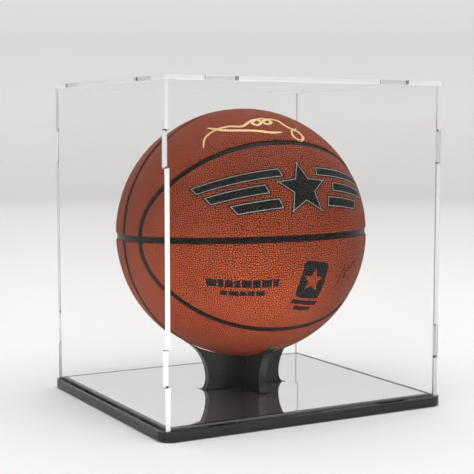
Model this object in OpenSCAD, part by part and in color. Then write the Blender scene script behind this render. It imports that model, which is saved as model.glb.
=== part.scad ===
// Clear acrylic display case for a ball: a black base board with a mirror, a flat-pack cover of
// five finger-jointed sheets, a cross stand of two halved plates, and the basketball on show.
// Millimetres, +Z up. The origin is on the ground at the middle of the base.

/* [Case] */
// Outside width of the cover, along X
case_w = 285; // [265:1:330]
// Outside depth of the cover, along Y
case_d = 252; // [250:1:300]
// Height of the cover above the base board, lid included
case_h = 297; // [290:1:340]
// Thickness of the acrylic sheet
sheet_t = 4; // [3:0.5:5]
// Width of the fingers that join the sheets
finger_w = 31; // [20:1:40]
// Distance from the middle to a finger along the front and back edges
finger_x = 89; // [70:1:100]
// Distance from the middle to a finger along the side edges
finger_y = 83; // [65:1:90]
// Height of the lower corner finger above the base board
finger_low_z = 53; // [45:1:70]
// Height of the upper corner finger above the base board
finger_high_z = 236; // [210:1:240]

/* [Base] */
// Thickness of the base board
base_t = 8; // [8:0.5:15]
// How far the base board stands out beyond the cover
base_lip = 4.5; // [3:0.5:12]
// Corner radius of the base board
base_r = 12; // [5:1:20]
// Thickness of the mirror plate
mirror_t = 2; // [2:0.5:3]
// How far the rubber pads hold the board off the ground
pad_h = 1; // [1:0.25:3]

/* [Stand] */
// Thickness of each stand plate
plate_t = 8; // [6:0.5:10]
// Distance from the middle to the tip of each arm
arm_tip_r = 62; // [55:1:70]
// Distance from the middle to the narrowest part of each arm
arm_waist_r = 39; // [34:1:45]
// Height of the narrowest part above the mirror
arm_waist_h = 10; // [8:1:14]
// Distance from the middle to the end of each foot
arm_foot_r = 43; // [41:1:50]

/* [Ball] */
// Outside radius of the ball
ball_r = 119.5; // [117:0.5:120]
// Height of the middle of the ball above the base board
ball_up = 153; // [150:0.5:160]
// Width of the black channels between the panels
seam_w = 5; // [4:0.5:6]
// Turn of the ball about the upright axis
ball_turn = -3; // [-180:1:180]
// Backward tilt of the ball
ball_tilt = 1.7; // [0:0.1:20]

/* [Hidden] */
$fn = 64;

// Play between parts that are pushed together by hand
fit_gap = 0.2;
// Play round the tabs that stand in the base board
slot_gap = 0.4;
// A cut runs this far past the face it opens
over = 1;

base_z = pad_h;
floor_z = base_z + base_t;
mirror_z = floor_z + mirror_t;
lid_z = floor_z + case_h - sheet_t;
wall_h = lid_z - floor_z;
inner_w = case_w - 2 * sheet_t;
inner_d = case_d - 2 * sheet_t;
tab_down = base_t - 2;

// Play round a finger in its notch, and the radius that the router bit leaves in the notch's corners
notch_gap = 0.5;
notch_r = 1.5;

pad_r = 6;
pad_set = 0.8;
pad_in = 20;

tongue_w = 14;
tongue_at = 26;
tongue_down = 5;
lap_z = 15.5;
foot_arc_r = 14;
waist_arc_r = 43;

ball_z = floor_z + ball_up;
cup_r = ball_r + 0.3;
skin_t = 1.25;
layer_gap = 0.05;
carcass_r = ball_r - skin_t - layer_gap;
carcass_t = 2.2;
winding_r = carcass_r - carcass_t - layer_gap;
winding_t = 1.2;
bladder_r = winding_r - winding_t - layer_gap;
bladder_t = 1.2;
ball_roll = -0.6;

// The oval channel round each pole, as sines of the angle from the pole
loop_wide = 0.967;
loop_high = 0.715;
loop_power = 2.1;
loop_steps = 72;

valve_r = 3.4;
valve_collar_r = 9;
valve_needle_r = 0.9;
valve_tilt = 66;
valve_swing = 140;

smoke = "#1f2021";
clear_tint = [0.82, 0.90, 0.93, 0.35];
leather = "#b4552f";

// ---------- shared shapes ----------

// A finger that stands reach out of the sheet edge at y = 0
module finger_2d(reach) {
    translate([-finger_w / 2, -over]) square([finger_w, reach + over]);
}

// The routed notch that takes a finger, open at y = 0, with round inner corners
module notch_2d() {
    w = finger_w + 2 * notch_gap;
    depth = sheet_t + notch_gap;
    translate([-w / 2, -over]) square([w, depth + over - notch_r]);
    translate([notch_r - w / 2, 0]) square([w - 2 * notch_r, depth]);
    for (side = [-1, 1]) {
        translate([side * (w / 2 - notch_r), depth - notch_r]) circle(notch_r);
    }
}

// Two copies of an outline, at the distance at to either side of the middle
module pair(at) {
    for (side = [-1, 1]) {
        translate([side * at, 0]) children();
    }
}

// Upper fingers and lower tabs of a wall sheet, drawn in the wall's own plane
module wall_fingers_2d(at) {
    translate([0, wall_h]) pair(at) finger_2d(sheet_t);
    mirror([0, 1]) pair(at) finger_2d(tab_down);
}

// Stands a flat outline up in the XZ plane, t thick and centred on Y
module upright(t) {
    rotate([90, 0, 0]) translate([0, 0, -t / 2]) linear_extrude(t) children();
}

// ---------- base ----------

module rounded_rect_2d(w, d, r) {
    for (x = [-1, 1]) {
        for (y = [-1, 1]) {
            translate([x * (w / 2 - r), y * (d / 2 - r)]) circle(r);
        }
    }
    square([w - 2 * r, d], center = true);
    square([w, d - 2 * r], center = true);
}

// The four long slots and four side slots that take the wall tabs
module wall_slots_2d() {
    long = finger_w + 2 * slot_gap;
    wide = sheet_t + 2 * slot_gap;
    for (x = [-1, 1]) {
        for (y = [-1, 1]) {
            translate([x * finger_x, y * (case_d - sheet_t) / 2]) square([long, wide], center = true);
            translate([x * (case_w - sheet_t) / 2, y * finger_y]) square([wide, long], center = true);
        }
    }
}

// The four sockets under the stand's tongues
module tongue_slots_2d() {
    long = tongue_w + 2 * fit_gap;
    wide = plate_t + 2 * fit_gap;
    for (side = [-1, 1]) {
        translate([side * tongue_at, 0]) square([long, wide], center = true);
        translate([0, side * tongue_at]) square([wide, long], center = true);
    }
}

module pad_place(i) {
    x = i % 2 == 0 ? -1 : 1;
    y = i < 2 ? -1 : 1;
    translate([x * (case_w / 2 - pad_in), y * (case_d / 2 - pad_in), 0]) children();
}

module base_board() {
    w = case_w + 2 * base_lip;
    d = case_d + 2 * base_lip;
    color(smoke) difference() {
        translate([0, 0, base_z]) linear_extrude(base_t) rounded_rect_2d(w, d, base_r);
        translate([0, 0, base_z - over]) linear_extrude(base_t + 2 * over) wall_slots_2d();
        translate([0, 0, floor_z - tongue_down]) linear_extrude(base_t) tongue_slots_2d();
        for (i = [0:3]) {
            pad_place(i) translate([0, 0, base_z - over]) cylinder(h = pad_set + over, r = pad_r + fit_gap);
        }
    }
}

module foot_pad(i) {
    color("#2a2a2a") pad_place(i) cylinder(h = pad_h + pad_set, r = pad_r);
}

module mirror_plate() {
    w = inner_w - 4 * fit_gap;
    d = inner_d - 4 * fit_gap;
    color("#d9dcdd") difference() {
        translate([0, 0, floor_z + mirror_t / 2]) cube([w, d, mirror_t], center = true);
        translate([0, 0, floor_z - over]) linear_extrude(mirror_t + 2 * over) tongue_slots_2d();
    }
}

// ---------- stand ----------

// Side view of one plate: two arms that cup the ball, a waist and a flared foot
module plate_2d() {
    foot_side = arm_waist_r + foot_arc_r;
    arm_side = arm_waist_r + waist_arc_r;
    cup_z = ball_z - mirror_z;
    tip_z = cup_z - sqrt(pow(cup_r, 2) - pow(arm_tip_r, 2));
    difference() {
        translate([-arm_tip_r, 0]) square([2 * arm_tip_r, tip_z + 0.01]);
        translate([0, cup_z]) circle(cup_r, $fn = 256);
        for (side = [-1, 1]) {
            intersection() {
                translate([side * arm_side, arm_waist_h]) circle(waist_arc_r, $fn = 128);
                translate([-case_w / 2, arm_waist_h]) square([case_w, case_h]);
            }
            translate([side * foot_side, arm_waist_h]) circle(foot_arc_r);
            translate([side > 0 ? arm_foot_r : -arm_tip_r - over, -over])
                square([arm_tip_r - arm_foot_r + over, arm_waist_h + over]);
        }
    }
    for (side = [-1, 1]) {
        translate([side * tongue_at - tongue_w / 2, -mirror_t - tongue_down + fit_gap])
            square([tongue_w, mirror_t + tongue_down]);
    }
}

// The half lap that lets the plates cross: the X plate is cut from above, the Y plate from below
module lap_2d(from_above) {
    w = plate_t + 2 * fit_gap;
    z = from_above ? lap_z - fit_gap / 2 : -over;
    h = from_above ? case_h : lap_z + fit_gap / 2 + over;
    translate([-w / 2, z]) square([w, h]);
}

module stand_plate_x() {
    color(smoke) translate([0, 0, mirror_z]) upright(plate_t) difference() {
        plate_2d();
        lap_2d(true);
    }
}

module stand_plate_y() {
    color(smoke) translate([0, 0, mirror_z]) rotate([0, 0, 90]) upright(plate_t) difference() {
        plate_2d();
        lap_2d(false);
    }
}

// ---------- cover ----------

// Front or back sheet: it stands between the side sheets, and its fingers reach through them
module end_wall_2d() {
    w = inner_w - 2 * fit_gap;
    translate([-w / 2, 0]) square([w, wall_h]);
    wall_fingers_2d(finger_x);
    for (side = [-1, 1]) {
        for (z = [finger_low_z, finger_high_z]) {
            translate([side * w / 2, z]) rotate(side * -90) finger_2d(sheet_t + fit_gap);
        }
    }
}

// Left or right sheet: full depth, with open notches that the end sheets' fingers fill
module side_wall_2d() {
    difference() {
        union() {
            translate([-case_d / 2, 0]) square([case_d, wall_h]);
            wall_fingers_2d(finger_y);
        }
        for (side = [-1, 1]) {
            for (z = [finger_low_z, finger_high_z]) {
                translate([side * case_d / 2, z]) rotate(side * 90) notch_2d();
            }
        }
    }
}

module end_wall(side) {
    color(clear_tint) translate([0, side * (case_d - sheet_t) / 2, floor_z])
        upright(sheet_t) end_wall_2d();
}

module side_wall(side) {
    color(clear_tint) translate([side * (case_w - sheet_t) / 2, 0, floor_z])
        rotate([0, 0, 90]) upright(sheet_t) side_wall_2d();
}

// Top sheet: open notches along all four edges take the walls' upper fingers
module top_panel() {
    color(clear_tint) translate([0, 0, lid_z]) linear_extrude(sheet_t) difference() {
        square([case_w, case_d], center = true);
        for (turn = [0, 180]) {
            rotate(turn) translate([0, -case_d / 2]) pair(finger_x) notch_2d();
            rotate(turn + 90) translate([0, -case_w / 2]) pair(finger_y) notch_2d();
        }
    }
}

// ---------- ball ----------

// Puts the ball's own frame in place: its poles lie along Y and its seam plane level
module ball_place() {
    translate([0, 0, ball_z]) rotate([0, 0, ball_turn]) rotate([-ball_tilt, ball_roll, 0]) children();
}

// A hollow ball of outside radius r and wall t
module ball_layer(r, t) {
    difference() {
        sphere(r, $fn = 96);
        sphere(r - t, $fn = 96);
    }
}

// Points along the valve's axis, pointing out of the ball
module valve_place() {
    rotate([0, 0, valve_swing]) rotate([0, valve_tilt, 0]) children();
}

module valve_hole(r) {
    valve_place() cylinder(h = ball_r + over, r = r);
}

module ball_bladder() {
    color("#3b3b3d") ball_place() difference() {
        ball_layer(bladder_r, bladder_t);
        valve_hole(valve_r + fit_gap);
    }
}

module ball_winding() {
    color("#d8d2c4") ball_place() difference() {
        ball_layer(winding_r, winding_t);
        valve_hole(valve_r + fit_gap);
    }
}

module ball_carcass() {
    color("#1b1b1c") ball_place() difference() {
        ball_layer(carcass_r, carcass_t);
        valve_hole(valve_r + fit_gap);
    }
}

// Rubber valve: a plug with a collar inside the bladder and a needle hole down its middle
module ball_valve() {
    collar_z = bladder_r - bladder_t - 3;
    color("#232324") ball_place() valve_place() difference() {
        union() {
            translate([0, 0, collar_z - 8]) cylinder(h = ball_r - 0.6 - collar_z + 8, r = valve_r);
            translate([0, 0, collar_z]) cylinder(h = 2, r = valve_collar_r);
        }
        translate([0, 0, collar_z - 9]) cylinder(h = ball_r, r = valve_needle_r, $fn = 32);
    }
}

// Angle from the pole to the middle of the oval channel, in the direction a
function loop_angle(a) =
    asin(1 / pow(pow(abs(cos(a)) / loop_wide, loop_power) + pow(abs(sin(a)) / loop_high, loop_power),
                 1 / loop_power));

// The oval as seen from the pole, moved outwards by the distance shift along the skin
function loop_points(shift) = [
    for (i = [0:loop_steps - 1])
        let (a = 360 * i / loop_steps, tilt = loop_angle(a) + shift / ball_r * 180 / PI)
        ball_r * sin(tilt) * [cos(a), sin(a)]
];

// The half ball in front of the pole plane, inside the oval and clear of its channel
module oval_core(shift) {
    rotate([90, 0, 0]) linear_extrude(ball_r + over) polygon(loop_points(shift));
}

// One of the eight leather panels. half is 1 above the level seam and -1 below it, end is the
// pole it faces, and inner says whether it lies inside the oval channel or outside it
module ball_panel(half, end, inner) {
    gap = seam_w / 2;
    size = 2 * ball_r;
    color(leather) ball_place() difference() {
        intersection() {
            ball_layer(ball_r, skin_t);
            translate([-size / 2, end > 0 ? -size - gap : gap, half > 0 ? gap : -size - gap]) cube(size);
            if (inner) {
                rotate([0, 0, end > 0 ? 0 : 180]) oval_core(-gap);
            }
        }
        if (!inner) {
            rotate([0, 0, end > 0 ? 0 : 180]) oval_core(gap);
        }
        valve_hole(valve_r + fit_gap);
    }
}

// ---------- what is drawn ----------

base_board();
mirror_plate();
for (i = [0:3]) {
    foot_pad(i);
}
stand_plate_x();
stand_plate_y();
end_wall(-1);  // wall_front
end_wall(1);  // wall_back
side_wall(-1);  // wall_left
side_wall(1);  // wall_right
top_panel();
ball_bladder();
ball_winding();
ball_carcass();
ball_valve();
for (i = [0:7]) {
    ball_panel(i % 2 == 0 ? 1 : -1, i % 4 < 2 ? 1 : -1, i < 4);
}
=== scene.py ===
"""Clear display case with a basketball on show: five finger-jointed acrylic sheets on a black base
with a mirror, and a crossed stand under the ball. Metres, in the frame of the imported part."""

import math

import bmesh
import bpy
import numpy as np
from mathutils import Euler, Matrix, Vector


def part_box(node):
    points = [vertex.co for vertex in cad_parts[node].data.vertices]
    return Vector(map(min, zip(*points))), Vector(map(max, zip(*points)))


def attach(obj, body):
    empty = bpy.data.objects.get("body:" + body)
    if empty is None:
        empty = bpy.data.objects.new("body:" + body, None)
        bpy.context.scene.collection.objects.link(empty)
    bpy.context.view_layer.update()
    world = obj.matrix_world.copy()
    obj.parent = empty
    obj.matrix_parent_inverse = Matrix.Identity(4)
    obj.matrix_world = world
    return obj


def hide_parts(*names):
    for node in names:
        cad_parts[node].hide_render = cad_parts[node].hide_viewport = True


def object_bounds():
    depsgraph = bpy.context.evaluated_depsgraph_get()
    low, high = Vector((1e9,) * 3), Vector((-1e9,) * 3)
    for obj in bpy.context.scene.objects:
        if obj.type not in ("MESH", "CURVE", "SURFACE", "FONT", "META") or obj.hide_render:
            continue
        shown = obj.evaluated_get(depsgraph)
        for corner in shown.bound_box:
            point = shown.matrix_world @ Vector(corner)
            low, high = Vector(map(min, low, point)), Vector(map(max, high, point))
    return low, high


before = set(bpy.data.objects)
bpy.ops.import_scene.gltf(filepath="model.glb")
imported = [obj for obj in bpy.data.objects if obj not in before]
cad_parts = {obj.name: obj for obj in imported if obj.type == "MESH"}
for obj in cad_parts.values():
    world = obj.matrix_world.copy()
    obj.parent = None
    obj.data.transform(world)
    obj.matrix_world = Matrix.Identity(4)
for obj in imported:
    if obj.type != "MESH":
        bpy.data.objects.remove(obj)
cad_low, cad_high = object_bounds()
MM = 0.001

# ---------- sizes that the design repeats ----------

# How the ball lies: its turn about the upright axis, its backward tilt and its roll, in degrees
BALL_TURN = -3.0
BALL_TILT = 1.7
BALL_ROLL = -0.6
# Half the width of a channel, the leather's thickness and the play under it
CHANNEL_HALF = 2.5 * MM
SKIN_T = 1.25 * MM
LAYER_GAP = 0.05 * MM
# The oval channel round each pole, as sines of the angle from the pole
LOOP_WIDE = 0.967
LOOP_HIGH = 0.715
LOOP_POWER = 2.1
# The valve: its place on the ball in degrees, the radius of the hole round it and the panel that it is in
VALVE_TILT = 66.0
VALVE_SWING = 140.0
VALVE_HOLE_R = 3.6 * MM
VALVE_PANEL = 3

carcass_low, carcass_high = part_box("ball_carcass")
BALL_MIDDLE = (carcass_low + carcass_high) / 2
BALL_R = (carcass_high.z - carcass_low.z) / 2 + LAYER_GAP + SKIN_T
SKIN_BOTTOM = BALL_R - SKIN_T
# Half a channel's width, as an angle at the ball's middle
INSET = CHANNEL_HALF / BALL_R
BALL_POSE = Euler([math.radians(a) for a in (-BALL_TILT, BALL_ROLL, BALL_TURN)]).to_matrix()


# ---------- node materials ----------

class Recipe:
    """A node material in the making, with the few node patterns that the finishes share."""

    def __init__(self, name):
        """An empty material with its shader, its output and the object's own coordinates at hand."""
        self.material = bpy.data.materials.new(name)
        self.material.use_nodes = True
        self.nodes = self.material.node_tree.nodes
        self.links = self.material.node_tree.links
        self.shader = self.nodes["Principled BSDF"]
        self.output = self.nodes["Material Output"]
        self.place = self.add("ShaderNodeTexCoord").outputs["Object"]

    def add(self, kind, sockets=None, **settings):
        """A new node. sockets maps an input's name or number to a value or to another node's output."""
        node = self.nodes.new(kind)
        for key, value in settings.items():
            setattr(node, key, value)
        self.fill(node, sockets or {})
        return node

    def fill(self, node, sockets):
        """Sets a node's inputs, each to a value or to another node's output."""
        for key, value in sockets.items():
            if isinstance(value, bpy.types.NodeSocket):
                self.links.new(value, node.inputs[key])
            else:
                node.inputs[key].default_value = value

    def finish(self, **sockets):
        """Sets the shader's own sockets, named with underscores for spaces."""
        self.fill(self.shader, {key.replace("_", " "): value for key, value in sockets.items()})
        return self.material

    def noise(self, scale, detail=2.0, roughness=0.5):
        """Smooth noise from 0 to 1, with scale features to the metre."""
        node = self.add("ShaderNodeTexNoise", {
            "Vector": self.place, "Scale": scale, "Detail": detail, "Roughness": roughness})
        return node.outputs["Fac"]

    def cells(self, scale):
        """Distance from the edge of the cell, in cells: 0 on the net between the cells."""
        node = self.add("ShaderNodeTexVoronoi", {
            "Vector": self.place, "Scale": scale, "Randomness": 1.0}, feature="DISTANCE_TO_EDGE")
        return node.outputs["Distance"]

    def fit(self, value, low, high, to_low=0.0, to_high=1.0):
        """value taken smoothly from the range low..high to the range to_low..to_high."""
        node = self.add("ShaderNodeMapRange", {
            0: value, 1: low, 2: high, 3: to_low, 4: to_high}, interpolation_type="SMOOTHSTEP")
        return node.outputs[0]

    def maths(self, operation, a, b):
        """The result of a maths operation on two values."""
        return self.add("ShaderNodeMath", {0: a, 1: b}, operation=operation).outputs[0]

    def blend(self, factor, a, b):
        """A colour that goes from a to b with the factor."""
        colour = [c if isinstance(c, bpy.types.NodeSocket) else (*c, 1.0) for c in (a, b)]
        node = self.add("ShaderNodeMix", {0: factor, 6: colour[0], 7: colour[1]}, data_type="RGBA")
        return node.outputs[2]

    def relief(self, height, depth, normal=None):
        """A bumped normal from a height of 0 to 1 that stands for depth metres."""
        sockets = {"Height": height, "Distance": depth, "Strength": 1.0}
        if normal is not None:
            sockets["Normal"] = normal
        return self.add("ShaderNodeBump", sockets).outputs["Normal"]


# The pitch of the leather's pebbles, how uneven their places are, and the size of the drift in their rows
# with how far it moves them
PEBBLE = 2.0 * MM
PEBBLE_UNEVEN = 0.85
DRIFT_WIDE = 4 * PEBBLE
DRIFT_FAR = 0.8 * PEBBLE
# Width of a pebble's flank and of its dome, in pebbles, and the dome's height at its rim
FLANK_WIDE = 0.36
DOME_WIDE = 0.75
DOME_RIM = 0.35


def pebbles(recipe):
    """Height of the pebbled hide, laid flat on the ball: 1 on a pebble's crown and 0 in the net between."""
    hide = recipe.add("ShaderNodeAttribute", attribute_name="hide").outputs["Vector"]
    drift = recipe.add("ShaderNodeTexNoise", {"Vector": hide, "Scale": 1 / DRIFT_WIDE, "Detail": 1.0})
    shift = recipe.add("ShaderNodeVectorMath", {0: drift.outputs["Color"], 1: (DRIFT_FAR,) * 3},
                       operation="MULTIPLY")
    moved = recipe.add("ShaderNodeVectorMath", {0: hide, 1: shift.outputs[0]}, operation="ADD")
    from_edge, from_middle = (recipe.add("ShaderNodeTexVoronoi", {
        "Vector": moved.outputs[0], "Scale": 1 / PEBBLE, "Randomness": PEBBLE_UNEVEN},
        feature=feature, voronoi_dimensions="2D") for feature in ("DISTANCE_TO_EDGE", "F1"))
    flank = recipe.fit(from_edge.outputs["Distance"], 0.0, FLANK_WIDE)
    dome = recipe.fit(from_middle.outputs["Distance"], 0.0, DOME_WIDE, 1.0, DOME_RIM)
    return recipe.maths("MULTIPLY", flank, dome)


# The leather's colours: two on the crowns, in blotches, in the net between the pebbles, which is partly the
# hide's own tone and partly painted shade in the hollows, and at a channel, which is partly black channel ink
# and partly painted shade
LEATHER_DEEP = (0.52, 0.098, 0.036)
LEATHER_BRIGHT = (0.62, 0.130, 0.050)
LEATHER_BLOTCH = (0.45, 0.080, 0.028)
LEATHER_NET_AND_SHADE = (0.055, 0.008, 0.004)
LEATHER_RIM_INK_AND_SHADE = (0.035, 0.010, 0.007)
# How deep the net between the pebbles is, on bare leather and under ink
NET_DEEP = 0.40 * MM
INK_DEEP = 0.24 * MM
# The hide's dull gloss, for leather and ink alike
HIDE_GLOSS = 0.14


def leather():
    """Pebbled orange-brown leather, darker and smoother where it turns down into a channel; the darkening
    there is partly black channel ink and partly painted shade.
    """
    r = Recipe("ball_leather")
    grain = pebbles(r)
    crease = r.noise(2600.0, 3.0, 0.6)
    cloud = r.noise(16.0, 4.0, 0.55)
    blotch = r.noise(70.0, 3.0, 0.6)
    crown = r.blend(r.fit(cloud, 0.32, 0.68), LEATHER_DEEP, LEATHER_BRIGHT)
    blotched = r.blend(r.fit(blotch, 0.35, 0.75, 0.0, 0.3), crown, LEATHER_BLOTCH)
    # The dark net is partly the hide's own darker tone and partly painted shade in the hollows between the
    # pebbles
    netted = r.blend(r.fit(grain, 0.0, 0.85), LEATHER_NET_AND_SHADE, blotched)
    rim = r.add("ShaderNodeAttribute", attribute_name="rim").outputs["Fac"]
    # Darker close to a channel: partly black channel ink on the rolled edge and partly painted shade where it
    # turns down
    colour = r.blend(r.fit(rim, 0.30, 0.85, 0.0, 0.92), netted, LEATHER_RIM_INK_AND_SHADE)
    rough = r.maths("ADD", r.fit(grain, 0.0, 1.0, 0.62, 0.44), r.fit(crease, 0.3, 0.7, -0.05, 0.06))
    height = r.maths("MULTIPLY", grain, r.fit(rim, 0.3, 0.95, 1.0, 0.15))
    fine = r.relief(crease, 0.03 * MM)
    return r.finish(Base_Color=colour, Roughness=rough, Normal=r.relief(height, NET_DEEP, fine),
                    Specular_IOR_Level=HIDE_GLOSS)


def ink(name, colour, worn, metal=0.0, rough=0.42):
    """Ink on the hide: it follows the pebbles, and is worn and less shiny in the net between them."""
    r = Recipe(name)
    grain = pebbles(r)
    speck = r.noise(900.0, 2.0, 0.6)
    mixed = r.maths("MULTIPLY", r.fit(grain, 0.0, 0.6, 1.0, 0.0), r.fit(speck, 0.35, 0.65))
    return r.finish(Base_Color=r.blend(mixed, colour, worn), Metallic=metal,
                    Roughness=r.fit(grain, 0.0, 1.0, rough + 0.14, rough),
                    Normal=r.relief(grain, INK_DEEP), Specular_IOR_Level=HIDE_GLOSS)


def channel_rubber():
    """Black moulded rubber of the ball's channels, with a fine grain."""
    r = Recipe("channel_rubber")
    grain = r.fit(r.noise(900.0, 1.0), 0.35, 0.65)
    dust = r.noise(60.0, 4.0, 0.6)
    colour = r.blend(r.fit(dust, 0.4, 0.75), (0.006, 0.005, 0.005), (0.014, 0.011, 0.010))
    return r.finish(Base_Color=colour, Roughness=r.fit(grain, 0.0, 1.0, 0.42, 0.30),
                    Normal=r.relief(grain, 0.05 * MM), Specular_IOR_Level=0.12)


def moulded_rubber(name, dark, light, pitch, depth):
    """Plain dark rubber with a sandy moulded face."""
    r = Recipe(name)
    sand = r.cells(1 / pitch)
    patch = r.noise(90.0, 4.0, 0.6)
    return r.finish(Base_Color=r.blend(r.fit(patch, 0.35, 0.7), dark, light),
                    Roughness=r.fit(patch, 0.3, 0.7, 0.62, 0.78),
                    Normal=r.relief(sand, depth))


def winding_thread():
    """Layers of thread wound round the bladder, in crossing bands."""
    r = Recipe("winding_thread")
    tilted = r.add("ShaderNodeMapping", {"Vector": r.place, "Rotation": (0.7, 0.4, 0.2)})
    waves = [r.add("ShaderNodeTexWave", {"Vector": where, "Scale": 260.0, "Distortion": 1.2},
                   bands_direction=axis).outputs["Fac"]
             for where, axis in ((r.place, "Z"), (tilted.outputs["Vector"], "X"))]
    weave = r.maths("MAXIMUM", *waves)
    colour = r.blend(r.fit(weave, 0.1, 0.9), (0.30, 0.26, 0.20), (0.68, 0.63, 0.53))
    return r.finish(Base_Color=colour, Roughness=r.fit(weave, 0.0, 1.0, 0.9, 0.7),
                    Normal=r.relief(weave, 0.3 * MM))


def black_plastic(name, tone, rough_low, rough_high):
    """Black acrylic: a fine uneven haze, a slight waviness and a little dust in the finish."""
    r = Recipe(name)
    haze = r.noise(35.0, 5.0, 0.6)
    grain = r.noise(2200.0, 2.0, 0.5)
    dust = r.fit(r.noise(1500.0, 1.0, 0.5), 0.66, 0.78)
    clean = r.blend(r.fit(haze, 0.3, 0.7), tone, [1.35 * c for c in tone])
    colour = r.blend(r.maths("MULTIPLY", dust, 0.10), clean, (0.16, 0.16, 0.16))
    rough = r.fit(haze, 0.3, 0.7, rough_low, rough_high)
    ripple = r.relief(r.noise(14.0, 1.0, 0.4), 0.02 * MM)
    return r.finish(Base_Color=colour, Roughness=rough, Normal=r.relief(grain, 0.002 * MM, ripple),
                    Specular_IOR_Level=0.32)


# Painted shade on the mirror: dark bands that mirror nothing, this far in from the mirror's edges where the
# walls stand and round the stand's foot as a painted shadow, over a narrow fade
MIRROR_EDGE_SHADE = 4.0 * MM
STAND_FOOT_SHADE = 3.0 * MM
SHADE_FADE = 0.3 * MM
# Half the length of the stand's foot
STAND_FOOT_R = 43.0 * MM
# Share of the silver that mirrors; the rest is a milky haze
SILVER_CLEAR = 0.94
SILVER_WARM = (0.975, 0.968, 0.962)
SILVER_DULL = (0.960, 0.952, 0.947)
# The colour of the painted shade bands, which mirror nothing
PAINTED_SHADE_DARK = (0.010, 0.010, 0.010)


def mirror_silver():
    """Silvered acrylic: a clean mirror with a trace of haze. Painted shade lies in dark, unmirrored bands
    along its edges by the walls and round the stand's foot.
    """
    r = Recipe("mirror_silver")
    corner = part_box("mirror_plate")[1]
    half_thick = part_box("stand_plate_x")[1].y
    place = r.add("ShaderNodeSeparateXYZ", {0: r.place}).outputs
    x, y = (r.maths("ABSOLUTE", place[axis], 0.0) for axis in "XY")
    rim = r.maths("MINIMUM", r.maths("SUBTRACT", corner.x, x), r.maths("SUBTRACT", corner.y, y))
    plates = [r.maths("MAXIMUM", r.maths("SUBTRACT", a, half_thick), r.maths("SUBTRACT", b, STAND_FOOT_R))
              for a, b in ((x, y), (y, x))]
    foot = r.maths("MINIMUM", *plates)
    # Painted shade: zero in a dark band along the mirror's edges and in a painted shadow round the stand's
    # foot
    clear_of_painted_shade = r.maths("MULTIPLY", r.fit(rim, MIRROR_EDGE_SHADE, MIRROR_EDGE_SHADE + SHADE_FADE),
                       r.fit(foot, STAND_FOOT_SHADE, STAND_FOOT_SHADE + SHADE_FADE))
    smear = r.noise(22.0, 5.0, 0.6)
    fleck = r.fit(r.noise(1300.0, 1.0, 0.5), 0.69, 0.8)
    silver = r.blend(r.fit(smear, 0.3, 0.7), SILVER_WARM, SILVER_DULL)
    flecked = r.blend(r.maths("MULTIPLY", fleck, 0.3), silver, (0.55, 0.55, 0.55))
    colour = r.blend(clear_of_painted_shade, PAINTED_SHADE_DARK, flecked)
    return r.finish(Base_Color=colour, Metallic=r.maths("MULTIPLY", clear_of_painted_shade, SILVER_CLEAR),
                    Roughness=r.fit(smear, 0.3, 0.75, 0.015, 0.05),
                    Normal=r.relief(r.noise(9.0, 1.0, 0.4), 0.03 * MM))


def mirror_edge():
    """The grey cut edge of the mirror sheet."""
    r = Recipe("mirror_edge")
    patch = r.noise(240.0, 4.0, 0.6)
    return r.finish(Base_Color=r.blend(patch, (0.09, 0.095, 0.10), (0.18, 0.19, 0.19)),
                    Roughness=r.fit(patch, 0.3, 0.7, 0.35, 0.5))


ACRYLIC_IOR = 1.49
# What a sheet of acrylic lets through of a lamp's light
ACRYLIC_SHADOW = (0.97, 0.967, 0.965, 1.0)


def clear_acrylic(name, haze, tint, clear, plain):
    """Clear acrylic that lets lamps through to what stands behind it. clear is the share that isn't
    scattered white, as some is on a cut edge, and plain is the share that refracts without mirroring."""
    r = Recipe(name)
    wipe = r.noise(7.0, 4.0, 0.6)
    colour = r.blend(r.fit(wipe, 0.3, 0.7), tint, [0.992 * c for c in tint])
    wave = r.relief(r.noise(5.0, 1.0, 0.4), 0.02 * MM)
    r.finish(Base_Color=colour, Roughness=haze, IOR=ACRYLIC_IOR, Transmission_Weight=clear, Normal=wave)
    bend = r.add("ShaderNodeBsdfRefraction", {
        "Color": colour, "Roughness": haze, "IOR": ACRYLIC_IOR, "Normal": wave})
    body = r.add("ShaderNodeMixShader", {0: plain, 1: r.shader.outputs[0], 2: bend.outputs[0]})
    path = r.add("ShaderNodeLightPath")
    through = r.add("ShaderNodeBsdfTransparent", {"Color": ACRYLIC_SHADOW})
    mixed = r.add("ShaderNodeMixShader", {
        0: path.outputs["Is Shadow Ray"], 1: body.outputs[0], 2: through.outputs[0]})
    r.links.new(mixed.outputs[0], r.output.inputs["Surface"])
    return r.material


# Painted light and shade on the studio sweep: its brightness at some heights in metres, darkest just above
# the floor in the bend of the sweep
STAGE_PAINTED_LIGHT = ((0.0, 0.91), (0.04, 0.77), (0.35, 0.86), (0.60, 0.83), (0.80, 0.90))


def stage_painted_light():
    """Matt studio floor and sweep, with painted light and shade: its brightness graded by height."""
    r = Recipe("stage_painted_light")
    height = r.add("ShaderNodeSeparateXYZ", {0: r.place}).outputs["Z"]
    # Painted light and shade: the sweep's brightness graded by height
    ramp = r.add("ShaderNodeValToRGB", {0: height})
    stops = ramp.color_ramp.elements
    while len(stops) < len(STAGE_PAINTED_LIGHT):
        stops.new(0.5)
    for stop, (place, tone) in zip(stops, STAGE_PAINTED_LIGHT):
        stop.position = place
        stop.color = (tone, tone, tone, 1.0)
    mottle = r.fit(r.noise(3.0, 3.0, 0.5), 0.3, 0.7, 0.0, 0.01)
    return r.finish(Base_Color=r.blend(mottle, ramp.outputs[0], (0.5, 0.5, 0.5)), Roughness=0.8,
                    Specular_IOR_Level=0.2)


# ---------- making pieces ----------

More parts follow.
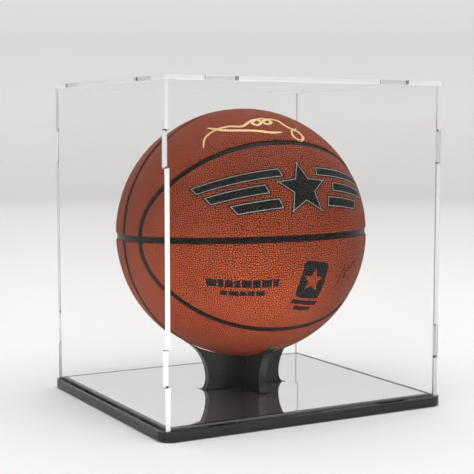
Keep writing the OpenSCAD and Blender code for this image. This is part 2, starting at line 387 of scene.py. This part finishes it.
def add_object(name, mesh, materials):
    """A new object in the scene, with the materials on its mesh."""
    piece = bpy.data.objects.new(name, mesh)
    bpy.context.scene.collection.objects.link(piece)
    for material in materials:
        mesh.materials.append(material)
    return piece


def closed_mesh(name, points, faces, crease):
    """A mesh with its faces turned outwards, smooth except where it bends by more than crease degrees."""
    mesh = bpy.data.meshes.new(name)
    mesh.from_pydata([tuple(p) for p in points], [], faces)
    shape = bmesh.new()
    shape.from_mesh(mesh)
    bmesh.ops.recalc_face_normals(shape, faces=shape.faces)
    shape.to_mesh(mesh)
    shape.free()
    mesh.shade_smooth()
    mesh.set_sharp_from_angle(angle=math.radians(crease))
    return mesh


# A cut face smaller than this is the side of a finger or of its notch
JOINT_AREA = 20 * MM ** 2
# An edge is softened where its faces meet at more than this, and shaded sharp above the next, in degrees
BEVEL_OVER = 40.0
SHARP_OVER = 35.0
# Points this close are one, as exported and after the edges are softened
SAME_BEFORE = 0.002 * MM
SAME_AFTER = 0.01 * MM
# A face looks along an axis when at least this share of its normal does. A lesser share takes in the
# rounding under an upright sheet
FACING = 0.7
FACING_ROUNDED = 0.3


def refined(name, node, body, materials, bevel, segments=2, thin_axis=None, shrink=0.0):
    """A CAD node with clean faces and softened edges, drawn in by shrink on every face. With thin_axis,
    the sheet's cut edges take the second material, apart from an upright sheet's polished foot, and the
    small side faces of its fingers and notches take the last one."""
    shape = bmesh.new()
    shape.from_mesh(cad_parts[node].data)
    bmesh.ops.remove_doubles(shape, verts=shape.verts, dist=SAME_BEFORE)
    bmesh.ops.dissolve_limit(shape, angle_limit=math.radians(0.5), verts=shape.verts, edges=shape.edges)
    shape.normal_update()
    for face in shape.faces:
        cut = thin_axis is not None and abs(face.normal[thin_axis]) < FACING
        face.material_index = int(cut and (thin_axis == 2 or face.normal.z > -FACING))
        if face.material_index == 1 and face.calc_area() < JOINT_AREA:
            face.material_index = len(materials) - 1
    if shrink:
        moves = [(v, v.normal * v.calc_shell_factor() * shrink) for v in shape.verts]
        for v, move in moves:
            v.co -= move
    corners = [e for e in shape.edges
               if len(e.link_faces) == 2 and e.calc_face_angle() > math.radians(BEVEL_OVER)]
    bmesh.ops.bevel(shape, geom=corners, offset=bevel, segments=segments, profile=0.5, affect="EDGES",
                    clamp_overlap=True, material=min(1, len(materials) - 1), harden_normals=False)
    bmesh.ops.remove_doubles(shape, verts=shape.verts, dist=SAME_AFTER)
    bmesh.ops.dissolve_degenerate(shape, dist=SAME_AFTER, edges=shape.edges)
    bmesh.ops.recalc_face_normals(shape, faces=shape.faces)
    if thin_axis in (0, 1):
        for face in shape.faces:
            if face.normal.z < -FACING_ROUNDED:
                face.material_index = 0
    mesh = bpy.data.meshes.new(name)
    shape.to_mesh(mesh)
    shape.free()
    mesh.shade_smooth()
    mesh.set_sharp_from_angle(angle=math.radians(SHARP_OVER))
    piece = add_object(name, mesh, materials)
    weighting = piece.modifiers.new("flat faces", "WEIGHTED_NORMAL")
    weighting.weight = 100
    weighting.keep_sharp = True
    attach(piece, body)
    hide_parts(node)
    return piece


# ---------- the ball's skin ----------

def loop_angle(a):
    """Angle from the pole to the middle of the oval channel, in the direction a."""
    wide = (np.abs(np.cos(a)) / LOOP_WIDE) ** LOOP_POWER
    high = (np.abs(np.sin(a)) / LOOP_HIGH) ** LOOP_POWER
    return np.arcsin(1 / (wide + high) ** (1 / LOOP_POWER))


def smooth_least(a, b, blend):
    """The lesser of two distances, rounded over where they are alike."""
    h = np.clip(0.5 + 0.5 * (b - a) / blend, 0, 1)
    return b * (1 - h) + a * h - blend * h * (1 - h)


# Direction of the valve in the ball's own frame
VALVE_TURN = Euler((0, math.radians(VALVE_TILT), math.radians(VALVE_SWING))).to_matrix()
VALVE_OUT = np.array(VALVE_TURN @ Vector((0, 0, 1)))
# Rounding of a panel's corners where two channels meet
CORNER_BLEND = 2.0 * MM


def border_distance(d):
    """Distance along the skin from the leather's nearest edge, for unit directions d of the ball's frame."""
    x, y, z = d[:, 0], -np.abs(d[:, 1]), np.abs(d[:, 2])
    a, t = np.arctan2(z, x), np.arccos(np.clip(-y, -1, 1))
    step = 1e-4
    slope = (loop_angle(a + step) - loop_angle(a - step)) / (2 * step)
    slant = np.sqrt(1 + (slope / np.maximum(np.sin(t), 0.2)) ** 2)
    oval = (BALL_R * np.abs(t - loop_angle(a)) - CHANNEL_HALF) / slant
    seam = BALL_R * math.asin(INSET)
    level = BALL_R * np.arcsin(z) - seam
    upright = BALL_R * np.arcsin(-y) - seam
    valve = BALL_R * np.arccos(np.clip(d @ VALVE_OUT, -1, 1)) - VALVE_HOLE_R
    near = smooth_least(oval, level, CORNER_BLEND)
    near = np.where(t > loop_angle(a), smooth_least(near, upright, CORNER_BLEND), near)
    return np.maximum(np.minimum(near, valve), 0)


# The leather rolls over at its very edge, dips softly towards it, and is darkest close to it, partly from
# black channel ink and partly from painted shade where it turns down
ROLL_WIDE = 2.6 * MM
ROLL_DEEP = 0.85 * MM
DIP_WIDE = 4.5 * MM
DIP_DEEP = 0.3 * MM
RIM_WIDE = 1.1 * MM


def skin_radius(d):
    """Radius of the leather's outer face in the directions d."""
    near = border_distance(d)
    inwards = 1 - np.clip(near / ROLL_WIDE, 0, 1)
    roll = ROLL_DEEP * (1 - np.sqrt(1 - inwards ** 2))
    return BALL_R - roll - DIP_DEEP * np.exp(-near / DIP_WIDE)


def to_frame(points):
    """Points of the ball's own frame, put where the ball lies."""
    return points @ np.array(BALL_POSE).T + np.array(BALL_MIDDLE)


# Distances of the mesh's first rows from a panel's edge, close together where the leather rolls over, and
# the pitch of the rows beyond
FINE = np.array([0, 0.1, 0.28, 0.52, 0.82, 1.2, 1.65, 2.2, 2.9, 3.9, 5.4, 7.6]) * MM
PITCH = 4.5 * MM
# Rows across the middle of a panel
INNER_ROWS = 16
# Points along the inner panel's curved side and its straight one, and how far its hub lies above the pole,
# in degrees
ARC_POINTS = 150
CHORD_POINTS = 110
HUB_RISE = 20.0
# Rounds of a search in which a place on a curve depends on itself
ROUNDS = 4


def spread(length):
    """Places from 0 to length: the fine steps at the start, then even steps of about the pitch."""
    start = FINE[FINE < length / 2]
    rest = np.linspace(start[-1], length, max(2, int(round((length - start[-1]) / PITCH)) + 1))
    return np.concatenate([start, rest[1:]])


def from_pole(t, a):
    """Unit directions at angle t from the front pole, in the direction a."""
    return np.stack([np.sin(t) * np.cos(a), -np.cos(t), np.sin(t) * np.sin(a)], -1)


def seam_start(t):
    """Direction a at which a circle of angle t from the pole comes out of the level channel."""
    return np.arcsin(CHANNEL_HALF / (BALL_R * np.sin(t)))


def inner_panel():
    """Directions and faces of the panel inside an oval: rings that close in on the panel's middle."""
    t = loop_angle(0.0) - INSET
    for _ in range(ROUNDS):
        corner = seam_start(t)
        t = loop_angle(corner) - INSET
    arc_a = np.linspace(corner, math.pi - corner, ARC_POINTS)
    arc = from_pole(loop_angle(arc_a) - INSET, arc_a)
    x = np.linspace(arc[-1][0], arc[0][0], CHORD_POINTS)[1:-1]
    chord = np.stack([x, -np.sqrt(1 - x ** 2 - INSET ** 2), np.full_like(x, INSET)], -1)
    border = np.concatenate([arc, chord])
    rise = math.radians(HUB_RISE)
    middle = np.array([0, -math.cos(rise), math.sin(rise)])
    reach = np.arccos(border @ middle)
    depth = spread(reach.min() * BALL_R)[:-1]
    rolled = 1 - depth[depth <= FINE[-1]][:, None] / (reach * BALL_R)
    inside = np.linspace(1, 0, INNER_ROWS)[1:-1, None] * rolled[-1]
    rings = []
    for share in np.concatenate([rolled, inside]):
        rings.append((np.sin((1 - share) * reach)[:, None] * middle + np.sin(share * reach)[:, None] * border)
                     / np.sin(reach)[:, None])
    n = len(border)
    faces = []
    for k in range(len(rings) - 1):
        for i in range(n):
            j = (i + 1) % n
            faces.append((k * n + i, k * n + j, (k + 1) * n + j, (k + 1) * n + i))
    last = (len(rings) - 1) * n
    hub = len(rings) * n
    faces += [(last + i, last + (i + 1) % n, hub) for i in range(n)]
    return np.concatenate(rings + [middle[None]]), faces


def crescent_panel():
    """Directions and faces of the panel between an oval and the upright channel, on a grid."""
    end = math.pi / 2 - math.asin(INSET)
    half = spread(BALL_R * math.pi / 2)
    across = np.concatenate([half, 2 * half[-1] - half[-2::-1]]) / (2 * half[-1])
    a = across * math.pi
    width = BALL_R * (end - loop_angle(a) - INSET)
    edge_rows, inner_row = FINE[:-2], FINE[-2]
    rows = [at / width for at in edge_rows]
    rows += [(inner_row * (1 - share) + (width - inner_row) * share) / width
             for share in np.linspace(0, 1, INNER_ROWS)]
    rows += [1 - at / width for at in edge_rows[::-1]]
    directions = []
    for share in rows:
        turned = a
        for _ in range(ROUNDS):
            start = loop_angle(turned) + INSET
            t = start + (end - start) * share
            turned = seam_start(t) + (math.pi - 2 * seam_start(t)) * across
        directions.append(from_pole(t, turned))
    n = len(across)
    faces = [(k * n + i, k * n + i + 1, (k + 1) * n + i + 1, (k + 1) * n + i)
             for k in range(len(rows) - 1) for i in range(n - 1)]
    return np.concatenate(directions), faces


# How far the mesh is finer round the valve, in two steps
VALVE_FINE = (11 * MM, 8 * MM)


def pierced(directions, faces):
    """The same panel with a round hole for the valve, in a finer part of the mesh."""
    shape = bmesh.new()
    verts = [shape.verts.new(d) for d in directions]
    for face in faces:
        shape.faces.new([verts[i] for i in face])
    out = Vector(VALVE_OUT)
    hole = VALVE_HOLE_R / BALL_R

    def away(point):
        """Distance along the skin from the valve's middle."""
        return BALL_R * point.normalized().angle(out)

    for reach in VALVE_FINE:
        near = [e for e in shape.edges if all(away(v.co) < reach for v in e.verts)]
        bmesh.ops.subdivide_edges(shape, edges=near, cuts=1, use_grid_fill=True)
    inside = [f for f in shape.faces if away(f.calc_center_median()) < VALVE_HOLE_R]
    bmesh.ops.delete(shape, geom=inside, context="FACES")
    for v in shape.verts:
        v.co.normalize()
        if away(v.co) < 2 * VALVE_HOLE_R and any(e.is_boundary for e in v.link_edges):
            side = (v.co - out * v.co.dot(out)).normalized()
            v.co = out * math.cos(hole) + side * math.sin(hole)
    shape.verts.index_update()
    directions = np.array([v.co[:] for v in shape.verts])
    faces = [tuple(v.index for v in f.verts) for f in shape.faces]
    shape.free()
    return directions, faces


def hide_map(directions):
    """The ball laid flat round its nearer pole, as a map for the hide's pebbles."""
    x, y, z = directions.T
    away = BALL_R * np.arccos(np.clip(np.abs(y), 0, 1)) / np.maximum(np.hypot(x, z), 1e-9)
    return np.stack([away * x, away * z, np.sign(y)], 1)


def keep_map(mesh, name, kind, values):
    """Keeps values on a closed sheet's points, the same on both of its sides."""
    field = mesh.attributes.new(name, kind, "POINT")
    both = np.concatenate([values, values]).astype(np.float32).ravel()
    field.data.foreach_set("vector" if kind == "FLOAT_VECTOR" else "value", both)


def both_sides(faces, n):
    """Faces of a closed sheet, from those of its outer side. The inner side's points follow n later."""
    edges = {(i, j) for face in faces for i, j in zip(face, face[1:] + face[:1])}
    walls = [(i, j, n + j, n + i) for i, j in edges if (j, i) not in edges]
    return faces + [tuple(n + i for i in reversed(f)) for f in faces] + sorted(walls)


def leather_panel(number, shape, material):
    """One panel: a closed sheet of leather with rolled edges. Odd panels lie above the level seam."""
    directions, faces = shape
    end = 1 if (number - 1) % 4 < 2 else -1
    half = 1 if number % 2 == 1 else -1
    directions = directions * np.array([end, end, half])
    if number == VALVE_PANEL:
        directions, faces = pierced(directions, faces)
    outer = directions * skin_radius(directions)[:, None]
    inner = directions * SKIN_BOTTOM
    n = len(directions)
    points = to_frame(np.concatenate([outer, inner]))
    name = f"leather_panel_{number}"
    mesh = closed_mesh(name, points, both_sides(faces, n), SHARP_OVER)
    keep_map(mesh, "rim", "FLOAT", np.exp(-border_distance(directions) / RIM_WIDE))
    keep_map(mesh, "hide", "FLOAT_VECTOR", hide_map(directions))
    piece = add_object(name, mesh, [material])
    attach(piece, "ball")
    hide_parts(f"ball_panel_{number}")
    return piece


# ---------- marks on the ball ----------

class Chart:
    """A flat sheet laid on the ball at a longitude and latitude in degrees, turned by an angle."""

    def __init__(self, lon, lat, turn):
        lon, lat, turn = (math.radians(v) for v in (lon, lat, turn))
        self.out = np.array([math.sin(lon) * math.cos(lat), -math.cos(lon) * math.cos(lat), math.sin(lat)])
        east = np.array([math.cos(lon), math.sin(lon), 0])
        north = np.cross(self.out, east)
        self.right = east * math.cos(turn) + north * math.sin(turn)
        self.up = north * math.cos(turn) - east * math.sin(turn)

    def directions(self, flat):
        """Unit directions of the ball's frame for the sheet's points in metres."""
        flat = np.asarray(flat, float)
        away = np.maximum(np.hypot(flat[:, 0], flat[:, 1]), 1e-9)
        toward = (flat[:, :1] * self.right + flat[:, 1:2] * self.up) / away[:, None]
        angle = (away / BALL_R)[:, None]
        return self.out * np.cos(angle) + toward * np.sin(angle)


# How high each film stands on the leather, so that those that cross lie in layers, and how far all of
# them reach into it
FILM_LOW = 0.10 * MM
FILM_MIDDLE = 0.12 * MM
FILM_LINE = 0.16 * MM
FILM_TOP = 0.20 * MM
FILM_SUNK = 0.15 * MM
FILM_SHARP_OVER = 50.0


def printed(name, chart, flat, faces, height, material):
    """A thin closed film over the leather, from a flat drawing in metres."""
    directions = chart.directions(flat)
    base = skin_radius(directions)[:, None]
    n = len(directions)
    points = to_frame(np.concatenate([directions * (base + height), directions * (base - FILM_SUNK)]))
    mesh = closed_mesh(name, points, both_sides(faces, n), FILM_SHARP_OVER)
    keep_map(mesh, "hide", "FLOAT_VECTOR", hide_map(directions))
    piece = add_object(name, mesh, [material])
    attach(piece, "ball")
    return piece


def joined(drawings):
    """Several flat drawings as one."""
    flat, faces, start = [], [], 0
    for points, shape in drawings:
        flat.append(points)
        faces += [tuple(start + i for i in f) for f in shape]
        start += len(points)
    return np.concatenate(flat), faces


# Side of a film's cells, small enough to bend round the ball, and how close a cut and a point may pass
# another point before they become one
CELL = 3.5 * MM
CUT_CLOSE = 1e-7
JOIN_CLOSE = 1e-6


def filled(outline):
    """A filled outline, cut into cells."""
    shape = bmesh.new()
    shape.faces.new([shape.verts.new((x, y, 0)) for x, y in outline])
    bmesh.ops.triangulate(shape, faces=shape.faces)
    for axis in (0, 1):
        low, high = min(p[axis] for p in outline), max(p[axis] for p in outline)
        for at in np.arange(low + CELL, high, CELL):
            middle, normal = Vector((0, 0, 0)), Vector((0, 0, 0))
            middle[axis], normal[axis] = at, 1
            bmesh.ops.bisect_plane(shape, geom=shape.verts[:] + shape.edges[:] + shape.faces[:],
                                   dist=CUT_CLOSE, plane_co=middle, plane_no=normal)
    bmesh.ops.remove_doubles(shape, verts=shape.verts, dist=JOIN_CLOSE)
    bmesh.ops.recalc_face_normals(shape, faces=shape.faces)
    shape.verts.index_update()
    flat = np.array([(v.co.x, v.co.y) for v in shape.verts])
    faces = [tuple(v.index for v in f.verts) for f in shape.faces]
    shape.free()
    return flat, faces


def grown(outline, by):
    """The outline moved outwards by a distance, with mitred corners. The outline runs anticlockwise."""
    p = np.asarray(outline, float)
    ahead, behind = np.roll(p, -1, 0) - p, p - np.roll(p, 1, 0)
    n1, n2 = (np.stack([e[:, 1], -e[:, 0]], 1) / np.linalg.norm(e, axis=1)[:, None] for e in (behind, ahead))
    mitre = n1 + n2
    return p + by * mitre * 2 / (mitre ** 2).sum(1)[:, None]


def dense(outline, pitch=2.5 * MM):
    """The same closed line with points no further apart than the pitch."""
    points = [np.asarray(p, float) for p in outline]
    out = []
    for a, b in zip(points, points[1:] + points[:1]):
        n = max(1, math.ceil(np.linalg.norm(b - a) / pitch))
        out += [a + (b - a) * k / n for k in range(n)]
    return np.array(out)


def band(outer, inner, steps=1):
    """The strip between two closed lines of the same number of points, cut into a number of rings."""
    n = len(outer)
    rings = [outer + (inner - outer) * k / steps for k in range(steps + 1)]
    faces = [(k * n + i, k * n + (i + 1) % n, (k + 1) * n + (i + 1) % n, (k + 1) * n + i)
             for k in range(steps) for i in range(n)]
    return np.concatenate(rings), faces


def stroke(path, widths):
    """A pen stroke along an open smooth path, with a half width at each point."""
    p = np.asarray(path, float)
    along = np.gradient(p, axis=0)
    side = np.stack([-along[:, 1], along[:, 0]], 1) / np.linalg.norm(along, axis=1)[:, None]
    w = np.asarray(widths)[:, None]
    n = len(p)
    faces = [(i, n + i, n + i + 1, i + 1) for i in range(n - 1)]
    return np.concatenate([p + side * w, p - side * w]), faces


# Distance between the points of a pen line
PEN_PITCH = 1.0 * MM


def curve(knots):
    """A smooth line through the knots, given in millimetres."""
    k = np.asarray(knots, float) * MM
    k = np.concatenate([[2 * k[0] - k[1]], k, [2 * k[-1] - k[-2]]])
    line = []
    for a, b, c, d in zip(k, k[1:], k[2:], k[3:]):
        n = max(3, int(np.linalg.norm(c - b) / PEN_PITCH))
        for s in np.arange(n) / n:
            line.append(0.5 * (2 * b + (c - a) * s + (2 * a - 5 * b + 4 * c - d) * s ** 2
                               + (3 * b - a - 3 * c + d) * s ** 3))
    return np.array(line + [k[-2]])


# Width of a pen stroke's ends as a share of its full width
PEN_TIP = 0.35


def pen(knots, thick):
    """A pen stroke through the knots, thick millimetres wide, with tapered ends."""
    line = curve(knots)
    s = np.linspace(0, 1, len(line))
    swell = PEN_TIP + (1 - PEN_TIP) * np.minimum(1, 6 * np.minimum(s, 1 - s)) ** 0.6
    return stroke(line, thick * MM / 2 * swell)


def star(radius, inner):
    """Outline of a star with five points, in metres."""
    turns = [math.pi / 2 + math.pi * i / 5 for i in range(10)]
    return [(reach * math.cos(a), reach * math.sin(a)) for reach, a in zip((radius, inner) * 5, turns)]


# The emblem's stripes, in millimetres: bottom, top, inner end, and the outer end's bottom and top
STRIPES = ((11.5, 22.0, 16, 99, 104), (-3.0, 8.0, 32, 88, 94), (-18.0, -6.5, 22, 66, 73))
# How much further out the inner end's top is
STRIPE_SLANT = 3
# The fine line inside the emblem's outlines: from here to here
LINE_OUTER = 1.2 * MM
LINE_INNER = 1.9 * MM


def emblem(black, pale):
    """A plain sports emblem on the upper front panel: a star between winged stripes, with a fine line
    inside each outline."""
    chart = Chart(4.0, 21.5, 0.0)
    shapes = [star(29 * MM, 13 * MM)]
    for side in (1, -1):
        for low, high, start, reach, tip in STRIPES:
            corners = (start, low), (reach, low), (tip, high), (start + STRIPE_SLANT, high)
            stripe = [(side * x * MM, y * MM) for x, y in corners]
            shapes.append(stripe[::side])
    bodies = joined([filled(outline) for outline in shapes])
    lines = joined([band(grown(outline, -LINE_OUTER), grown(outline, -LINE_INNER))
                    for outline in map(dense, shapes)])
    printed("mark_emblem", chart, *bodies, FILM_LOW, black)
    printed("mark_emblem_line", chart, *lines, FILM_LINE, pale)


def block(half_wide, half_high, power, angles):
    """Points of a rounded rectangle at the given angles round its middle."""
    c, s = np.cos(angles), np.sin(angles)
    reach = (np.abs(c / half_wide) ** power + np.abs(s / half_high) ** power) ** (-1 / power)
    return np.stack([reach * c, reach * s], 1)


def bar(x, y, length, height):
    """A filled bar that starts at x, with its middle at the height y, all in millimetres."""
    low, high = y - height / 2, y + height / 2
    return filled([(u * MM, v * MM) for u, v in ((x, low), (x + length, low), (x + length, high), (x, high))])


def badge(black):
    """An upright badge on the lower front panel: a block with a star cut out of it, over two plain bars."""
    chart = Chart(7.0, -22.0, -9.0)
    up = np.array([0, 6 * MM])
    hole = dense(star(11.5 * MM, 5.2 * MM), 1.2 * MM)
    angles = np.arctan2(hole[:, 1], hole[:, 0])
    plate = block(14 * MM, 18 * MM, 7.0, angles)
    made = [band(plate + up, hole + up, 6)]
    made += [bar(-length / 2, y, length, 4.2) for y, length in ((-16.5, 28.0), (-23.0, 18.0))]
    printed("mark_badge", chart, *joined(made), FILM_LOW, black)


# The rows of dashes, in millimetres: middle, height and the dashes' lengths, with one gap between them all
DASH_ROWS = ((3.8, 7.0, (9, 5, 7, 5, 9, 6, 9, 5)), (-5.6, 4.6, (6, 9, 5, 6, 8)))
DASH_GAP = 1.4


def dashes(black):
    """Two rows of plain dashes on the lower front panel."""
    chart = Chart(-26.5, -21.0, -2.0)
    made = []
    for y, height, lengths in DASH_ROWS:
        x = -(sum(lengths) + DASH_GAP * (len(lengths) - 1)) / 2
        for length in lengths:
            made.append(bar(x, y, length, height))
            x += length + DASH_GAP
    printed("mark_dashes", chart, *joined(made), FILM_LOW, black)


def flourish(gold, black):
    """Ornamental pen lines: a gold flourish on the top panel and a small dark one on the lower panel."""
    top = Chart(-14.0, 57.0, 3.0)
    long_line = [(-52, -14), (-48, -2), (-38, 5), (-24, 6), (-12, 2), (-4, 8), (3, 13), (8, 8), (3, 2),
                 (-1, 7), (6, 14), (14, 15), (18, 9), (13, 4), (10, 9), (17, 15), (26, 14), (30, 7),
                 (36, 2), (43, -1), (46, -9), (41, -15), (35, -11), (36, -2), (43, 5)]
    under = [(-42, 14), (-30, 2), (-16, -4), (-2, -7), (13, -10), (24, -8)]
    printed("mark_gold_line", top, *pen(long_line, 2.9), FILM_MIDDLE, gold)
    printed("mark_gold_underline", top, *pen(under, 3.2), FILM_TOP, gold)
    side = Chart(30.0, -17.0, 22.0)
    small = [(-17, -8), (-9, 1), (-3, 8), (-2, 1), (-6, -4), (1, 0), (4, 6), (5, 0), (9, 2), (12, 6),
             (13, 1), (18, 3), (24, 6)]
    printed("mark_dark_line", side, *pen(small, 0.9), FILM_LOW, black)


# ---------- the scene ----------

# How far the edges are softened, and how far the clear sheets draw back from each other
BASE_BEVEL = 0.45 * MM
MIRROR_BEVEL = 0.12 * MM
STAND_BEVEL = 0.35 * MM
PAD_BEVEL = 0.35 * MM
SHEET_BEVEL = 0.22 * MM
SHEET_GAP = 0.03 * MM
# The axis across each upright sheet
THIN_AXIS = {"front": 1, "back": 1, "left": 0, "right": 0}


def build_case():
    """The base, mirror, pads, stand and cover, from their CAD nodes with finished edges."""
    base_black = black_plastic("base_black", (0.018, 0.018, 0.019), 0.16, 0.25)
    stand_black = black_plastic("stand_black", (0.021, 0.020, 0.019), 0.17, 0.25)
    pad_rubber = moulded_rubber("pad_rubber", (0.016, 0.016, 0.016), (0.032, 0.031, 0.030),
                                0.5 * MM, 0.05 * MM)
    silver = [mirror_silver(), mirror_edge()]
    clear = [clear_acrylic("acrylic_face", 0.0, (0.998, 0.995, 0.994), 1.0, 0.92),
             clear_acrylic("acrylic_edge", 0.12, (0.99, 0.995, 0.995), 0.35, 0.0),
             clear_acrylic("acrylic_joint", 0.12, (0.22, 0.23, 0.23), 0.9, 0.0)]
    refined("base_plinth", "base_board", "base", [base_black], BASE_BEVEL, 3)
    refined("mirror_sheet", "mirror_plate", "base", silver, MIRROR_BEVEL, 1, 2)
    for axis in "xy":
        refined(f"stand_arm_{axis}", f"stand_plate_{axis}", "base", [stand_black], STAND_BEVEL)
    for i in range(1, 5):
        refined(f"rubber_foot_{i}", f"foot_pad_{i}", "base", [pad_rubber], PAD_BEVEL, 3)
    for side, axis in THIN_AXIS.items():
        refined(f"acrylic_{side}", f"wall_{side}", "cover", clear,
                SHEET_BEVEL, 1, axis, SHEET_GAP)
    refined("acrylic_lid", "top_panel", "lid", clear, SHEET_BEVEL, 1, 2, SHEET_GAP)


def build_ball():
    """The leather panels with their marks, and the finishes of what lies under them."""
    hide = leather()
    black = ink("black_ink", (0.007, 0.008, 0.010), (0.024, 0.017, 0.014))
    pale = ink("pale_ink", (0.36, 0.37, 0.34), (0.24, 0.21, 0.18))
    gold = ink("gold_ink", (0.82, 0.62, 0.33), (0.56, 0.34, 0.15), 0.45, 0.34)
    shapes = inner_panel(), crescent_panel()
    for number in range(1, 9):
        leather_panel(number, shapes[number > 4], hide)
    emblem(black, pale)
    badge(black)
    dashes(black)
    flourish(gold, black)
    finishes = {
        "ball_carcass": channel_rubber(),
        "ball_bladder": moulded_rubber("bladder_rubber", (0.030, 0.030, 0.032), (0.060, 0.060, 0.062),
                                       1.2 * MM, 0.04 * MM),
        "ball_winding": winding_thread(),
        "ball_valve": moulded_rubber("valve_rubber", (0.016, 0.016, 0.017), (0.034, 0.033, 0.033),
                                     0.35 * MM, 0.03 * MM),
    }
    for node, material in finishes.items():
        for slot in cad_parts[node].material_slots:
            slot.material = material
        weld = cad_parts[node].modifiers.new("clean mesh", "WELD")
        weld.merge_threshold = SAME_AFTER


def build_stage():
    """A round floor that sweeps up into a wall, well outside every camera."""
    floor_r, sweep_r, wall_h, turns = 2.6, 0.9, 2.4, 96
    profile = [(floor_r * s, 0.0) for s in (0.0, 0.15, 0.35, 0.6, 0.85, 1.0)]
    profile += [(floor_r + sweep_r * math.sin(a), sweep_r * (1 - math.cos(a)))
                for a in np.linspace(0, math.pi / 2, 13)[1:]]
    profile.append((floor_r + sweep_r, wall_h))
    points = [(0, 0, 0)]
    for r, z in profile[1:]:
        points += [(r * math.cos(2 * math.pi * i / turns), r * math.sin(2 * math.pi * i / turns), z)
                   for i in range(turns)]
    faces = [(0, 1 + i, 1 + (i + 1) % turns) for i in range(turns)]
    for k in range(len(profile) - 2):
        for i in range(turns):
            j = (i + 1) % turns
            a, b = 1 + k * turns, 1 + (k + 1) * turns
            faces.append((a + i, b + i, b + j, a + j))
    mesh = bpy.data.meshes.new("studio_sweep")
    mesh.from_pydata(points, [], faces)
    mesh.shade_smooth()
    add_object("studio_sweep", mesh, [stage_painted_light()])


def lamp(name, place, target, width, height, power, tone=(1.0, 1.0, 1.0), shiny=True):
    """A soft rectangular light that faces the target. One that isn't shiny leaves no reflection of itself."""
    light = bpy.data.lights.new(name, "AREA")
    light.shape = "RECTANGLE"
    light.size, light.size_y, light.energy, light.color = width, height, power, tone
    holder = bpy.data.objects.new(name, light)
    holder.location = place
    holder.rotation_euler = (Vector(target) - Vector(place)).to_track_quat("-Z", "Y").to_euler()
    holder.visible_camera = False
    holder.visible_glossy = shiny
    holder.visible_transmission = shiny
    bpy.context.scene.collection.objects.link(holder)


def build_light():
    """Two softboxes, two lamps that lie unseen on the floor by the case and face up, and a pale surround."""
    middle = (0.0, 0.0, cad_high.z / 2)
    lamp("overhead_softbox", (0.1, -0.3, 1.9), middle, 1.3, 1.3, 10.0, (1.0, 0.995, 0.985))
    lamp("right_softbox", (1.3, -1.1, 1.6), middle, 0.9, 0.7, 3.0, (1.0, 0.99, 0.975))
    reflectors = ("front_reflector", -0.08, -0.27, 1.1), ("left_reflector", -0.30, -0.05, 0.7)
    for name, x, y, power in reflectors:
        lamp(name, (x, y, 2 * MM), (x, y, 1.0), 0.20, 0.20, power, shiny=False)
    world = bpy.data.worlds.new("studio")
    bpy.context.scene.world = world
    world.use_nodes = True
    background = world.node_tree.nodes["Background"]
    background.inputs["Color"].default_value = (0.974, 0.972, 0.972, 1.0)
    background.inputs["Strength"].default_value = 0.93


# The camera: its turn and its look down in degrees, its distance from what it aims at, where that is from
# the middle of the case, and its focal length in millimetres
CAMERA_TURN = 28.911
CAMERA_DOWN = 5.062
CAMERA_AWAY = 1.159
CAMERA_AIM = Vector((-0.0038, 0.0024, 0.0039))
CAMERA_LENS = 90.35


def build_camera():
    """The camera looks at the case from its left front corner and a little from above."""
    turn, down = math.radians(CAMERA_TURN), math.radians(CAMERA_DOWN)
    target = (cad_low + cad_high) / 2 + CAMERA_AIM
    ahead = Vector((math.sin(turn) * math.cos(down), math.cos(turn) * math.cos(down), -math.sin(down)))
    camera = bpy.data.objects.new("camera", bpy.data.cameras.new("camera"))
    camera.data.lens = CAMERA_LENS
    camera.location = target - ahead * CAMERA_AWAY
    camera.rotation_euler = ahead.to_track_quat("-Z", "Y").to_euler()
    bpy.context.scene.collection.objects.link(camera)
    bpy.context.scene.camera = camera


build_camera()
build_case()
build_ball()
build_stage()
build_light()
bpy.context.scene.view_settings.view_transform = "Standard"
